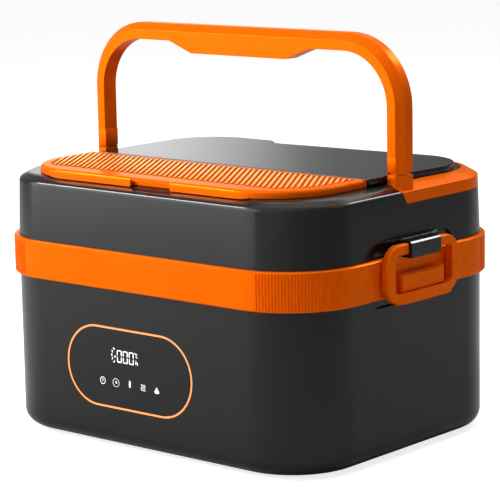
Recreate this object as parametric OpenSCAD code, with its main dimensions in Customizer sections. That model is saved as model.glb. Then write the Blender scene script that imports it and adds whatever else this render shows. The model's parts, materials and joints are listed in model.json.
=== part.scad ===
/* [Overall size] */
// Width of the base from side to side
body_w = 240; // [210:1:300]
// Depth of the base from front to back
body_d = 190; // [165:1:240]
// Radius of the upright corners
corner_r = 43; // [38:1:52]
// Wall thickness of the outer shells
wall = 3; // [2.4:0.1:3.6]
// Height of the rubber feet below the base
foot_h = 1.5; // [1:0.1:4]

/* [Heights] */
// Lower edge of the waist band
band_z = 93.5; // [85:0.5:115]
// Height of the waist band
band_h = 22; // [18:0.5:28]
// Height of the lid's wall, from the band to the shoulder
lid_wall_h = 33.5; // [30:0.5:44]
// Height of the sloped shoulder above the lid's wall
shoulder_h = 3.5; // [2.5:0.1:5]
// Run of the shoulder from the wall to the deck
shoulder_run = 7; // [5:0.5:9]
// Radius of the crease between the lid's wall and shoulder
crease_r = 3; // [1:0.5:4]
// How far the lid's wall leans in over its height
lid_lean = 1.2; // [0.5:0.1:2]

/* [Waist band] */
// How far the band stands out from the base
band_proud = 3; // [2:0.1:4]
// Pitch of the grip ribs on the corners
rib_pitch = 1.8; // [1.5:0.1:3]
// Share of each corner that carries ribs
rib_share = 0.72; // [0.3:0.02:0.9]

/* [Latches] */
// Outer width of a latch ring
ring_w = 67; // [56:1:72]
// Outer height of a latch ring
ring_h = 32.8; // [30:0.2:36]
// Width of the ring's side bars
ring_side = 7.2; // [6:0.2:11]
// Height of the ring's lower and upper bars
ring_bar = 5.6; // [4.8:0.1:6.4]
// Depth of a latch ring
ring_t = 4.8; // [4:0.1:5.5]
// Width of the clip that holds the ring
clip_w = 27.4; // [22:0.2:32]
// Radius of the steel hinge pin in a latch
latch_pin_r = 1.2; // [1:0.05:1.4]
// Width of the catch block on the band
catch_w = 40; // [30:1:44]

/* [Handle] */
// Place of the handle's hinge line, from the middle towards the back
handle_y = -1.3; // [-6:0.1:6]
// Set-in of the handle's legs from the base's side
handle_in = 2; // [1:0.2:3]
// Rise of the handle's top above the lid's deck
handle_rise = 82.7; // [66:0.1:110]
// Outer corner radius of the handle
handle_r = 40; // [30:1:55]
// Width of the handle's bar
bar_w = 9.8; // [8:0.1:12]
// Depth of the handle's bar
bar_d = 10.8; // [9:0.2:13]
// Chamfer along the handle's outer front edge
bar_chamfer = 4.2; // [2.5:0.1:5]
// Length of the flat under the hand grip
grip_len = 72; // [50:1:100]
// Depth of the hand grip below the bar
grip_drop = 6.8; // [4:0.2:9]
// Radius of the handle's hinge pins
handle_pin_r = 2; // [1.5:0.1:2.5]
// Set-back of the post's cheeks from the handle's front face
cheek_back = 1.2; // [0.6:0.1:2]

/* [Lid top] */
// Set-in of the ribbed cover from the base's sides
cover_inset = 15; // [12:0.5:20]
// How far the cover's lip hangs over the front shoulder
cover_over = 1.6; // [0:0.1:3]
// Height of the ribbed cover
cover_h = 4.4; // [3.8:0.1:5]
// Depth of the ribbed cover from front to back
cover_d = 67.6; // [55:0.2:72]
// Pitch of the cover's slanted ribs
slant_pitch = 3.8; // [3:0.1:6]
// Angle of the slanted ribs from the width
slant_angle = 57; // [45:1:75]
// Height of the gloss plate
plate_h = 3.6; // [3:0.1:5]
// Set-in of the gloss plate's right edge from the base's side
plate_in_right = 9.5; // [8:0.5:14]
// Set-in of the gloss plate's left edge
plate_in_left = 19; // [10:0.5:24]
// Forward step in the plate's back edge
plate_step = 8; // [4:0.5:12]
// Length of that step along the width
step_run = 16; // [12:0.5:30]
// Height of the frame's side face
frame_h = 6.5; // [5:0.1:8]

/* [Touch display] */
// Length of the glowing outline
display_w = 96.9; // [70:0.1:110]
// Height of the glowing outline
display_h = 47.4; // [36:0.1:56]
// Centre of the display from the middle of the front
display_x = -9; // [-20:0.5:20]
// Height of the display's centre
display_z = 47.6; // [40:0.2:56]
// Width of the glowing line
glow_w = 1.1; // [0.8:0.1:2]

/* [Heating well] */
// Distance from the base's side to the well's mouth
well_inset = 14; // [12:0.5:18]
// Height of the well's floor
well_floor = 34; // [32:0.5:44]
// Sheet thickness of the well
well_t = 1.2; // [0.8:0.1:2]
// Gap between the well and the food pot
pot_gap = 3; // [2:0.5:6]
// Sheet thickness of the food pot
pot_t = 0.9; // [0.6:0.1:1.5]
// Depth of the food pot
pot_h = 70; // [60:1:74]

/* [Cutlery tray] */
// Depth of the cutlery tray below the deck
tray_h = 24; // [16:1:27]
// Wall thickness of the cutlery tray
tray_t = 1.6; // [1.2:0.1:2.2]

/* [Fits] */
// Gap between pieces that are fixed together
seat = 0.1; // [0.05:0.05:0.2]
// Gap between pieces that move apart
gap = 0.35; // [0.25:0.05:0.5]
// Radial play of a pin in its running bore
play = 0.06; // [0.03:0.01:0.1]

/* [Hidden] */
$fn = 72;
base_z = foot_h;
bottom_round = 9;
band_top = band_z + band_h;
base_top = band_top - 0.3;
lid_z = band_top + seat;
rim_z = lid_z + lid_wall_h - seat;
deck_z = rim_z + shoulder_h;
handle_top = deck_z + handle_rise;
rebate = 1;
half_w = body_w / 2;
half_d = body_d / 2;

// ---- shared forms ----

// A section swept round a rounded rectangle. In the section x runs outward from the line
// through the corner centres and y is the height.
module sweep(w, d, r) {
    for (side = [0 : 3]) {
        long = side % 2 == 0 ? d - 2 * r : w - 2 * r;
        out = side % 2 == 0 ? w / 2 - r : d / 2 - r;
        rotate([0, 0, 90 * side])
            translate([out, long / 2, 0])
                rotate([90, 0, 0])
                    linear_extrude(long)
                        children();
        rotate([0, 0, 90 * side])
            translate([out, long / 2, 0])
                rotate_extrude(angle = 90)
                    children();
    }
}

// The same sweep with its middle filled between two heights.
module filled_sweep(w, d, r, z0, z1) {
    sweep(w, d, r)
        children();
    translate([-(w / 2 - r), -(d / 2 - r), z0])
        cube([w - 2 * r, d - 2 * r, z1 - z0]);
}

// A rounded rectangle as a flat outline.
module rounded(w, d, r) {
    square([w - 2 * r, d], center = true);
    square([w, d - 2 * r], center = true);
    for (sx = [-1, 1])
        for (sy = [-1, 1])
            translate([sx * (w / 2 - r), sy * (d / 2 - r)])
                circle(r);
}

module rounded_block(w, d, r, h) {
    linear_extrude(h)
        rounded(w, d, r);
}

// A flat rectangle from the section's axis out to x, between two heights.
module upright(x, z0, z1) {
    polygon([[0, z0], [x, z0], [x, z1], [0, z1]]);
}

// A stadium on the front wall, from one depth to another.
module front_stadium(w, h, y0, y1) {
    translate([display_x, y1, display_z])
        rotate([90, 0, 0])
            linear_extrude(y1 - y0)
                rounded(w, h, h / 2 - 0.01);
}

// A rod along X.
module rod_x(r, x0, x1, y, z) {
    translate([x0, y, z])
        rotate([0, 90, 0])
            cylinder(r = r, h = x1 - x0);
}

// A rod along Y.
module rod_y(r, y0, y1, x, z) {
    translate([x, y1, z])
        rotate([90, 0, 0])
            cylinder(r = r, h = y1 - y0);
}

// ---- base ----

cover_plate_w = body_w - 2 * (bottom_round + 11);
cover_plate_d = body_d - 2 * (bottom_round + 11);
cover_plate_r = corner_r - 19;
screw_x = cover_plate_w / 2 - 14;
screw_y = cover_plate_d / 2 - 14;
plate_t = 2.5;
ledge_z = base_z + plate_t + 0.2;

inlet_x = 60;
inlet_z = 22;
inlet_w = 26;
inlet_h = 17;

pocket_w = 78;
pocket_z0 = band_z - 5.5;
pocket_z1 = band_top + 8.6;
pocket_deep = 1.8;

// The shallow pocket behind each latch, as a block through one side wall.
module latch_pocket(side) {
    translate([side * half_w, 0, (pocket_z0 + pocket_z1) / 2])
        rotate([90, 0, 90])
            translate([0, 0, -pocket_deep])
                linear_extrude(2 * pocket_deep)
                    rounded(pocket_w, pocket_z1 - pocket_z0, 9);
    translate([side * half_w - pocket_deep, -flange_w / 2 - seat, ring_top])
        cube([2 * pocket_deep, flange_w + 2 * seat, flange_top - ring_top + seat]);
}

module base_outline() {
    translate([0, base_z + bottom_round])
        square([corner_r, base_top - base_z - bottom_round]);
    translate([0, base_z])
        square([corner_r - bottom_round, bottom_round]);
    translate([corner_r - bottom_round, base_z + bottom_round])
        circle(bottom_round);
}

module base_hollow() {
    inner_round = bottom_round - wall;
    translate([0, base_z + bottom_round])
        square([corner_r - wall, base_top - base_z]);
    translate([0, base_z + wall])
        square([corner_r - bottom_round, bottom_round]);
    translate([corner_r - bottom_round, base_z + bottom_round])
        circle(inner_round);
}

module base_shell() {
    color([0.11, 0.11, 0.11])
    difference() {
        union() {
            difference() {
                filled_sweep(body_w, body_d, corner_r, base_z, base_top)
                    base_outline();
                filled_sweep(body_w, body_d, corner_r, base_z + wall, base_top + 1)
                    base_hollow();
            }
            // ledge that carries the heating well
            sweep(body_w, body_d, corner_r)
                polygon([[corner_r - wall + 0.5, base_top - 12], [corner_r - wall + 0.5, base_top - 3.2],
                         [corner_r - wall - 6, base_top - 3.2], [corner_r - wall - 6, base_top - 6]]);
            // rim that frames the bottom opening, with screw bosses
            difference() {
                translate([0, 0, base_z + wall - 0.01])
                    rounded_block(cover_plate_w + 4, cover_plate_d + 4, cover_plate_r + 2, plate_t + 0.8);
                translate([0, 0, base_z])
                    rounded_block(cover_plate_w - 12, cover_plate_d - 12, cover_plate_r - 6, 12);
            }
            for (sx = [-1, 1])
                for (sy = [-1, 1])
                    translate([sx * screw_x, sy * screw_y, ledge_z])
                        cylinder(r = 9.5, h = 9);
            // box behind the mains inlet
            translate([inlet_x - inlet_w / 2 - 2, half_d - wall - 6, inlet_z - inlet_h / 2 - 2])
                cube([inlet_w + 4, 6.5, inlet_h + 4]);
        }
        // seat of the bottom cover and the opening above it
        translate([0, 0, base_z - 1])
            rounded_block(cover_plate_w, cover_plate_d, cover_plate_r, ledge_z - base_z + 1);
        difference() {
            translate([0, 0, base_z - 1])
                rounded_block(cover_plate_w - 12, cover_plate_d - 12, cover_plate_r - 6, wall + 2);
            for (sx = [-1, 1])
                for (sy = [-1, 1])
                    translate([sx * screw_x, sy * screw_y, base_z - 2])
                        cylinder(r = 9.5, h = 10);
        }
        for (sx = [-1, 1])
            for (sy = [-1, 1])
                translate([sx * screw_x, sy * screw_y, ledge_z - 1])
                    cylinder(r = 1.3, h = 9);
        // rebate for the waist band
        sweep(body_w, body_d, corner_r)
            translate([corner_r - rebate, band_z - seat])
                square([10, band_h + 10]);
        for (side = [-1, 1])
            latch_pocket(side);
        // recess and window of the display
        front_stadium(display_w, display_h, -half_d - 1, -half_d + 1.3);
        front_stadium(display_w - 30, display_h - 16, -half_d, -half_d + wall + 1);
        // mouth of the mains inlet
        translate([inlet_x - inlet_w / 2, half_d - wall - 8, inlet_z - inlet_h / 2])
            cube([inlet_w, wall + 9, inlet_h]);
    }
}

module waist_band() {
    in_x = corner_r - rebate + seat;
    out_x = corner_r + band_proud;
    edge = 0.7;
    rib_count = floor(rib_share * 90 * PI / 180 * out_x / rib_pitch);
    rib_step = rib_pitch / out_x * 180 / PI;
    color([0.95, 0.4, 0.02]) {
        difference() {
            sweep(body_w, body_d, corner_r)
                polygon([[in_x, band_z], [out_x - edge, band_z], [out_x, band_z + edge],
                         [out_x, band_top - edge], [out_x - edge, band_top], [in_x, band_top]]);
            // flutes between the grip ribs
            for (side = [0 : 3]) {
                cx = (side == 0 || side == 3 ? 1 : -1) * (half_w - corner_r);
                cy = (side < 2 ? 1 : -1) * (half_d - corner_r);
                for (k = [0 : rib_count - 1])
                    translate([cx, cy, 0])
                        rotate([0, 0, 90 * side + 45 + (k - (rib_count - 1) / 2) * rib_step])
                            translate([out_x + 0.25, 0, band_z - 1])
                                cylinder(r = 0.72, h = band_h - 0.4, $fn = 16);
            }
        }
        // catch blocks under the latch rings
        for (side = [-1, 1])
            catch_block(side);
    }
}

ring_top = band_top + 7.3;
ring_bottom = ring_top - ring_h;
ring_back = half_w + band_proud + 0.7;
ring_front = ring_back + ring_t;
flange_w = 48;
flange_top = ring_top + 2.2;
catch_front = ring_front - 0.7;
catch_z0 = ring_bottom + ring_bar + 0.3;
catch_h = 10.2;

module catch_block(side) {
    back = half_w - rebate + 1;
    deep = catch_front - back;
    rotate([0, 0, side > 0 ? 0 : 180])
        translate([back, -catch_w / 2, catch_z0])
            rotate([90, 0, 90])
                union() {
                    cube([catch_w, catch_h, deep - 0.8]);
                    translate([0.8, 0.8, 0])
                        cube([catch_w - 1.6, catch_h - 1.6, deep]);
                }
}

module bottom_cover() {
    color([0.14, 0.14, 0.14])
    difference() {
        translate([0, 0, base_z + 0.1])
            rounded_block(cover_plate_w - 2 * gap, cover_plate_d - 2 * gap, cover_plate_r - gap, plate_t);
        for (sx = [-1, 1])
            for (sy = [-1, 1]) {
                translate([sx * screw_x, sy * screw_y, base_z - 1])
                    cylinder(r = 1.8, h = 10);
                translate([sx * screw_x, sy * screw_y, base_z - 1])
                    cylinder(r = 3.4, h = 2.6);
                translate([sx * (screw_x - 16), sy * screw_y, base_z - 1])
                    cylinder(r = 8 + seat, h = 2.1);
            }
        // vent slots under the heater
        for (k = [-4 : 4])
            translate([9 * k, 0, base_z - 1])
                rounded_block(3, 34, 1.45, 10);
    }
}

module feet() {
    color([0.05, 0.05, 0.05])
    for (sx = [-1, 1])
        for (sy = [-1, 1])
            translate([sx * (screw_x - 16), sy * screw_y, 0])
                rotate_extrude()
                    polygon([[0, 0], [7, 0], [8, 0.8], [8, base_z + 1.1], [0, base_z + 1.1]]);
}

module bottom_screws() {
    color([0.7, 0.7, 0.72])
    for (sx = [-1, 1])
        for (sy = [-1, 1])
            translate([sx * screw_x, sy * screw_y, base_z + 0.3])
                difference() {
                    union() {
                        cylinder(r = 3, h = 1.3);
                        cylinder(r = 1.25, h = 9);
                    }
                    for (a = [0, 90])
                        rotate([0, 0, a])
                            translate([-1.8, -0.4, -1])
                                cube([3.6, 0.8, 1.7]);
                }
}

module display_ring() {
    color([1, 0.5, 0.1])
    difference() {
        front_stadium(display_w - 2 * seat, display_h - 2 * seat, -half_d, -half_d + 1.2);
        front_stadium(display_w - 2 * glow_w, display_h - 2 * glow_w, -half_d - 1, -half_d + 2);
    }
}

module display_panel() {
    in_w = 2 * (glow_w + seat);
    color([0.03, 0.03, 0.03])
        front_stadium(display_w - in_w, display_h - in_w, -half_d, -half_d + 1.2);
}

board_y = -half_d + wall + 0.4;

module control_board() {
    color([0.05, 0.25, 0.12]) {
        // printed board with the lamp module in the window
        translate([display_x - 42, board_y + 2.6, display_z - 20])
            cube([84, 1.6, 40]);
        translate([display_x - 26, -half_d + 1.6, display_z - 2])
            cube([52, wall + 1.5, 14]);
        for (k = [-2 : 2])
            rod_y(2.2, -half_d + 1.6, board_y + 2.7, display_x + k * 13, display_z - 8.5);
        translate([display_x + 18, board_y + 4.1, display_z + 4])
            cube([12, 2, 12]);
        for (sx = [-1, 1])
            rod_y(2.4, board_y - 0.4, board_y + 2.7, display_x + sx * 39, display_z);
    }
}

well_r = corner_r - well_inset;
flange_z = base_top - 3.2 + 0.05;

module heating_well() {
    edge = corner_r - wall - gap;
    r_in = 8;
    color([0.78, 0.79, 0.8])
    difference() {
        union() {
            sweep(body_w, body_d, corner_r)
                translate([well_r, flange_z])
                    square([edge - well_r, well_t]);
            filled_sweep(body_w, body_d, corner_r, well_floor, flange_z + well_t)
                union() {
                    upright(well_r + well_t, well_floor + r_in, flange_z + well_t);
                    translate([0, well_floor])
                        square([well_r + well_t - r_in, r_in + 1]);
                    translate([well_r + well_t - r_in, well_floor + r_in])
                        circle(r_in);
                }
        }
        filled_sweep(body_w, body_d, corner_r, well_floor + well_t, flange_z + 5)
            union() {
                upright(well_r, well_floor + r_in, flange_z + 5);
                translate([0, well_floor + well_t])
                    square([well_r + well_t - r_in, r_in]);
                translate([well_r + well_t - r_in, well_floor + r_in])
                    circle(r_in - well_t);
            }
    }
}

plate_w = body_w - 2 * well_inset - 62;
plate_d = body_d - 2 * well_inset - 52;
heater_z = well_floor - 5;
tube_z = heater_z - 3.7;

module heating_plate() {
    color([0.7, 0.7, 0.7])
    difference() {
        union() {
            translate([0, 0, heater_z])
                rounded_block(plate_w, plate_d, 12, 5 - seat / 2);
            // ribs that hold the heating tube
            for (y = [-26, 26])
                translate([-plate_w / 2 + 26, y - 8, heater_z - 3])
                    cube([plate_w - 52, 16, 3.5]);
        }
        for (y = [-26, 26])
            rod_x(3.6, -plate_w, plate_w, y, tube_z);
    }
}

module heating_element() {
    run = plate_w / 2 - 26;
    color([0.55, 0.55, 0.56]) {
        for (y = [-26, 26])
            rod_x(3.45, -run - 4, run + (y > 0 ? 14 : 4), y, tube_z);
        // bend at one end, straight tails at the other
        translate([-run - 4, 0, tube_z])
            rotate([0, 0, 90])
                rotate_extrude(angle = 180)
                    translate([26, 0])
                        circle(3.45);
        rod_x(1.2, run + 14, run + 24, 26, tube_z);
        rod_x(1.2, run + 4, run + 24, -26, tube_z);
    }
}

module thermostat() {
    color([0.85, 0.82, 0.75]) {
        translate([0, 0, heater_z - 7.05])
            cylinder(r = 8, h = 7);
        translate([0, 0, heater_z - 9])
            cylinder(r = 5, h = 3);
        for (sx = [-1, 1])
            translate([sx * 10 - 3, -2, heater_z - 5])
                cube([6, 4, 1]);
    }
}

module power_board() {
    z = ledge_z + 3.6;
    y = half_d - 62;
    color([0.1, 0.3, 0.15]) {
        translate([-64, y, z])
            cube([92, 32, 1.6]);
        translate([-58, y + 6, z + 1.5])
            cube([22, 18, 10]);
        for (k = [0 : 2])
            translate([-24 + 12 * k, y + 15, z + 1.5])
                cylinder(r = 4.5, h = 9);
        translate([14, y + 6, z + 1.5])
            cube([10, 20, 7]);
        for (x = [-60, 24])
            for (dy = [4, 28])
                translate([x, y + dy, base_z + plate_t + 0.1])
                    cylinder(r = 2, h = z - base_z - plate_t);
    }
}

module power_inlet() {
    w = inlet_w - 2 * seat;
    h = inlet_h - 2 * seat;
    color([0.08, 0.08, 0.08])
    difference() {
        union() {
            translate([inlet_x - w / 2, half_d - 24, inlet_z - h / 2])
                cube([w, 24 - 0.3, h]);
        }
        // mouth for the plug
        translate([inlet_x, half_d + 1, inlet_z])
            rotate([90, 0, 0])
                linear_extrude(15)
                    rounded(20, 11, 5.4);
        for (sx = [-1, 1])
            rod_y(1.2, half_d - 30, half_d - 5, inlet_x + sx * 4.3, inlet_z);
    }
}

module inlet_pins() {
    color([0.8, 0.8, 0.82])
    for (sx = [-1, 1])
        rod_y(1.2 - 0.02, half_d - 28, half_d - 5, inlet_x + sx * 4.3, inlet_z);
}

// ---- food pot ----

pot_off = well_inset + well_t + pot_gap;
pot_w = body_w - 2 * pot_off;
pot_d = body_d - 2 * pot_off;
pot_r = corner_r - pot_off;
pot_z = well_floor + well_t + 2;
pot_top = pot_z + pot_h;

module pot_profile(inset, z0) {
    r = 10 - inset;
    translate([0, z0 + r])
        square([pot_r - inset, pot_top - z0 - r + 1]);
    translate([0, z0])
        square([pot_r - inset - r, r + 0.5]);
    translate([pot_r - inset - r, z0 + r])
        circle(r);
}

module food_pot() {
    color([0.82, 0.83, 0.84])
    difference() {
        union() {
            intersection() {
                filled_sweep(pot_w, pot_d, pot_r, pot_z, pot_top)
                    pot_profile(0, pot_z);
                translate([-pot_w, -pot_d, 0])
                    cube([2 * pot_w, 2 * pot_d, pot_top]);
            }
            // rolled rim
            sweep(pot_w, pot_d, pot_r)
                translate([pot_r + 0.6, pot_top - 0.9])
                    circle(1.3);
            // pads that stand on the well's floor
            for (p = [[-60, -40], [60, -40], [-60, 40], [60, 40]])
                translate([p[0], p[1], well_floor + well_t + 0.05])
                    cylinder(r = 6, h = 2.2);
        }
        filled_sweep(pot_w, pot_d, pot_r, pot_z + pot_t, pot_top + 1)
            pot_profile(pot_t, pot_z + pot_t);
    }
}

pot_lid_z = pot_top + 0.5;
pot_lid_over = 1.9;

module pot_lid() {
    in_x = pot_r - pot_t;
    color([0.85, 0.86, 0.88, 0.6])
    difference() {
        filled_sweep(pot_w, pot_d, pot_r, pot_lid_z, pot_lid_z + 1.6)
            union() {
                translate([0, pot_lid_z])
                    square([pot_r + pot_lid_over, 1.6]);
                // rib inside the rim that holds the seal
                translate([in_x - 3.4, pot_lid_z - 4])
                    square([1.2, 5]);
            }
        translate([0, 0, pot_lid_z - 1])
            cylinder(r = 7, h = 6);
        // shallow panel on top
        translate([0, 0, pot_lid_z + 1])
            rounded_block(pot_w - 40, pot_d - 40, 18, 2);
    }
}

module pot_seal() {
    in_x = pot_r - pot_t;
    color([0.9, 0.9, 0.88])
    sweep(pot_w, pot_d, pot_r)
        translate([in_x - 2.15, pot_lid_z - 3.4])
            polygon([[0, 0], [1.2, 0.4], [2, 1.6], [1.6, 2.4], [1.6, 3.35], [0, 3.35]]);
}

module pot_valve() {
    color([0.9, 0.9, 0.88])
    translate([0, 0, pot_lid_z])
        rotate_extrude()
            polygon([[0, -1.4], [7.8, -1.4], [7.8, -0.1], [6.9, -0.1], [6.9, 1.1], [8.6, 1.1],
                     [8.6, 2.2], [2.2, 3], [0, 3]]);
}

// ---- lid ----

deck_run = lid_lean + shoulder_run;
deck_front = -half_d + deck_run;
cover_w = body_w - 2 * cover_inset;
cover_r = corner_r - 3;
cover_front = deck_front - cover_over;
cover_back = cover_front + cover_d;
cover_z = deck_z + 0.3;
hinge_r = 2.6;
hinge_z = cover_z + cover_h - hinge_r;
hinge_y = cover_back - hinge_r;
tray_x = cover_w / 2 - 11;
tray_y0 = cover_front + 8.6;
tray_y1 = cover_back - 8;
tray_r = 14;
liner_z = lid_z + 1.2;
frame_y0 = -5.5;
frame_low = rim_z - frame_h;
post_x1 = half_w - handle_in;
post_x0 = post_x1 - bar_w;
pin_z = deck_z + 11.3;

// The lid's outer section: leaning wall, rounded crease, sloped shoulder and deck.
module lid_outline() {
    wall_turn = atan2(rim_z - lid_z, -lid_lean);
    slope_turn = atan2(shoulder_h, -shoulder_run);
    tangent = crease_r * tan((slope_turn - wall_turn) / 2);
    crease = [corner_r - lid_lean, rim_z];
    below = crease - tangent * [cos(wall_turn), sin(wall_turn)];
    above = crease + tangent * [cos(slope_turn), sin(slope_turn)];
    polygon([[0, lid_z], [corner_r, lid_z], below, above, [corner_r - deck_run, deck_z], [0, deck_z]]);
    translate(below + crease_r * [-sin(wall_turn), cos(wall_turn)])
        circle(crease_r);
}

// Everything below a line that runs a little above the shoulder and deck.
module lid_top_room(above) {
    slope = shoulder_h / shoulder_run;
    polygon([[0, lid_z], [corner_r + 20, lid_z], [corner_r + 20, rim_z + above - slope * (20 + lid_lean)],
             [corner_r - deck_run, deck_z + above], [0, deck_z + above]]);
}

// Section of the frame that lies on the lid's rear shoulder.
module frame_section(grow) {
    a = corner_r - lid_lean * frame_at(frame_low);
    b = corner_r - lid_lean;
    c = corner_r - lid_lean - shoulder_run;
    t = 2.2 + grow;
    polygon([[a + 5 * grow, frame_low - grow], [b + 5 * grow, rim_z + 5 * grow], [c, deck_z + 5 * grow + 0.6],
             [c - 2.4 - grow, deck_z + 5 * grow + 0.6], [c - 2.4 - grow, deck_z - t + 1.2], [b - t - 0.5, rim_z - t],
             [a - t, frame_low - grow]]);
}

function frame_at(z) = (z - lid_z) / (rim_z - lid_z);

// The part of the lid behind the frame's slanted front ends.
module frame_zone(front) {
    rotate([90, 0, 90])
        translate([0, 0, -body_w])
            linear_extrude(2 * body_w)
                polygon([[front - 2.5, deck_z + 20], [front - 2.5, deck_z - 1.5], [front - 1.4, rim_z],
                         [front + 0.6, rim_z - 2.6], [front + 2, frame_low + 1.4], [front + 3, frame_low],
                         [front + 3, frame_low - 2], [body_d, frame_low - 2], [body_d, deck_z + 20]]);
}

module lid_shell() {
    color([0.11, 0.11, 0.11])
    difference() {
        union() {
            difference() {
                filled_sweep(body_w, body_d, corner_r, lid_z, deck_z)
                    lid_outline();
                translate([0, 0, -0.5])
                    filled_sweep(body_w, body_d, corner_r, lid_z, deck_z - wall + 0.5)
                        lid_hollow();
            }
            // bosses for the liner's screws
            for (p = liner_screws)
                translate([p[0], p[1], liner_z + 2.3])
                    cylinder(r = 4, h = deck_z - liner_z - 3);
            // ledge that carries the liner
            sweep(body_w, body_d, corner_r)
                polygon([[corner_r - wall + 0.5, liner_z + 2.3], [corner_r - wall + 0.5, liner_z + 9],
                         [corner_r - wall - 3, liner_z + 5], [corner_r - wall - 3, liner_z + 2.3]]);
            // posts' footings below the frame
            for (side = [-1, 1])
                translate([side * (post_x0 + bar_w / 2 - 2) - 5, handle_y - bar_d / 2 - 2, rim_z - 12])
                    cube([10, bar_d + 4, 13]);
            // rib below the cover's hinge trough
            translate([-cover_w / 2 + 3, tray_y1 + 0.5, deck_z - wall - 2])
                cube([cover_w - 6, 9, 3]);
        }
        // sockets of the handle posts
        for (side = [0, 1])
            mirror([side, 0, 0])
                translate([0, 0, post_foot - seat])
                    linear_extrude(20)
                        leg_plan(seat);
        for (p = liner_screws)
            translate([p[0], p[1], liner_z])
                cylinder(r = 1.2, h = 14);
        for (side = [-1, 1])
            latch_pocket(side);
        // mouth of the cutlery tray
        translate([0, (tray_y0 + tray_y1) / 2, deck_z - wall - 3])
            rounded_block(2 * tray_x, tray_y1 - tray_y0, tray_r, wall + 5);
        // trough that the cover's rounded back edge turns in
        rod_x(hinge_r - 0.1 + gap, -cover_w / 2 - gap, cover_w / 2 + gap, hinge_y, hinge_z);
        // rebate under the frame
        intersection() {
            sweep(body_w, body_d, corner_r)
                frame_section(seat);
            frame_zone(frame_y0 - seat);
        }
    }
    // ears of the cover's hinge
    color([0.11, 0.11, 0.11])
    for (side = [-1, 1])
        difference() {
            union() {
                rod_x(ear_r, side * ear_x - 1.5, side * ear_x + 1.5, hinge_y, hinge_z);
                translate([side * ear_x - 1.5, hinge_y - ear_r, hinge_z - hinge_r - 1.5])
                    cube([3, ear_r + 1.1, hinge_r + 1.5]);
            }
            rod_x(cover_pin_r + 0.02, side * ear_x - 3, side * ear_x + 3, hinge_y, hinge_z);
        }
}

ear_x = cover_w / 2 - 7;
ear_r = 1.6;
cover_pin_r = 0.8;
liner_screws = [[-88, 60], [88, 60], [-88, -6], [88, -6], [0, 66], [0, -6]];

module lid_hollow() {
    polygon([[0, lid_z], [corner_r - wall, lid_z], [corner_r - wall - lid_lean, frame_low - 4],
             [corner_r - wall - lid_lean - 3, frame_low], [corner_r - wall - lid_lean - shoulder_run, deck_z - wall - 1.5],
             [corner_r - wall - lid_lean - shoulder_run - 6, deck_z - wall + 0.5], [0, deck_z - wall + 0.5]]);
}

module lid_liner() {
    r = corner_r - wall - gap;
    w = body_w - 2 * wall - 2 * gap;
    d = body_d - 2 * wall - 2 * gap;
    color([0.2, 0.2, 0.2])
    difference() {
        filled_sweep(w, d, r, liner_z, liner_z + 2.2)
            union() {
                translate([0, liner_z])
                    square([r, 2.2]);
                // lip that centres the lid in the base
                translate([r - 1.6, liner_z - 3])
                    square([1.6, 3.5]);
            }
        // raised middle over the food pot
        translate([0, 0, liner_z - 1])
            rounded_block(w - 46, d - 46, r - 23, 1 + 1.2);
        for (p = liner_screws)
            translate([p[0], p[1], liner_z - 1])
                cylinder(r = 1.7, h = 10);
        for (p = liner_screws)
            translate([p[0], p[1], liner_z - 1])
                cylinder(r = 3.2, h = 1.9);
    }
}

module lid_seal() {
    mid = corner_r - wall - 7;
    low = flange_z + well_t + 0.25;
    color([0.75, 0.75, 0.74])
    sweep(body_w, body_d, corner_r)
        polygon([[mid - 2, liner_z - 0.05], [mid - 2, low + 1], [mid - 1.2, low], [mid + 1.2, low],
                 [mid + 2, low + 1], [mid + 2, liner_z - 0.05]]);
}

module lid_screws() {
    color([0.7, 0.7, 0.72])
    for (p = liner_screws)
        translate([p[0], p[1], liner_z - 0.3])
            difference() {
                union() {
                    cylinder(r = 2.7, h = 1.2);
                    cylinder(r = 1.15, h = 10);
                }
                for (a = [0, 90])
                    rotate([0, 0, a])
                        translate([-1.6, -0.35, -1])
                            cube([3.2, 0.7, 1.6]);
            }
}

plate_z = deck_z + 1.1;
plate_front = cover_back + gap;

plate_back = half_d - 19;
plate_left = -half_w + plate_in_left;
plate_right = half_w - plate_in_right;
plate_r = corner_r - 10;
step_x = -47;
step_r = (step_run * step_run + plate_step * plate_step) / (4 * plate_step);

// The S-shaped step in the back edge, as the area in front of its two arcs.
module plate_step_curve() {
    translate([step_x, plate_back - plate_step - 1])
        square([step_run, 1]);
    intersection() {
        translate([step_x, plate_back - plate_step - 1])
            square([step_run / 2, plate_step + 2]);
        translate([step_x, plate_back - step_r])
            circle(step_r);
    }
    difference() {
        translate([step_x + step_run / 2, plate_back - plate_step - 1])
            square([step_run / 2, plate_step / 2 + 1]);
        translate([step_x + step_run, plate_back - plate_step + step_r])
            circle(step_r);
    }
}

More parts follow.
